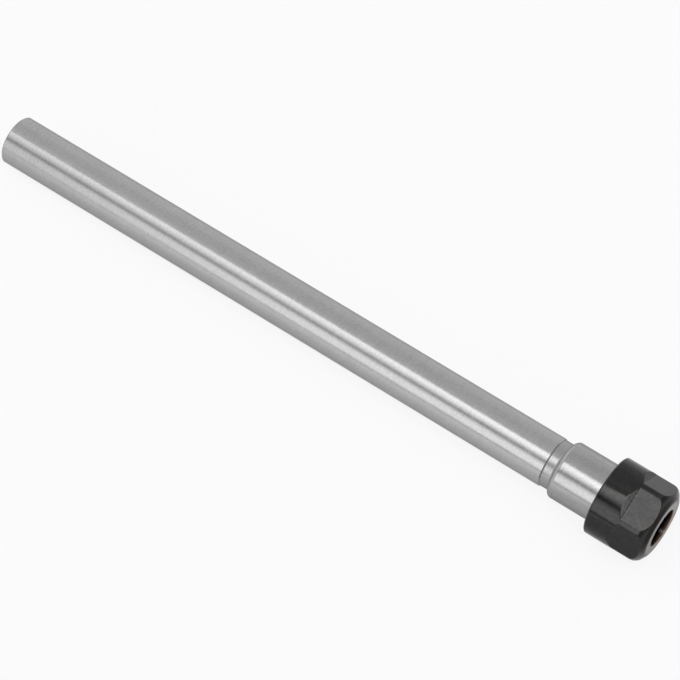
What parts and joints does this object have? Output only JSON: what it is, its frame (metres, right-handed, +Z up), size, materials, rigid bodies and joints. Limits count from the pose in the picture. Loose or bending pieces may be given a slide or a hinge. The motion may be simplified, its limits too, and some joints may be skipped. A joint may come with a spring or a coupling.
{
  "type": "straight shank collet chuck",
  "caption": "Slim straight-shank collet chuck: long ground steel bar with a short head, and a black hexagonal clamping nut with a round collar on its front thread.",
  "frame": {"origin": "centre of the tail face of the shank, on the axis, where the 60-degree centre hole opens", "axes": "+X along the axis from the tail towards the clamping nut's face, +Z up with the chuck lying on its side"},
  "size_m": [0.1784, 0.019, 0.019],
  "materials": {
    "ground_steel": "bright ground and hardened steel, fine marks round the bar",
    "black_oxide_steel": "black oxide, satin"
  },
  "bodies": {
    "bar": {"chuck_body": "ground_steel"},
    "nut": {"clamping_nut": "black_oxide_steel"}
  },
  "joints": [
    {"name": "nut_turn", "type": "hinge", "parent": "bar", "child": "nut", "pos_m": [0.1712, 0, 0], "axis": [1, 0, 0], "range_deg": [0, 3600]}
  ]
}
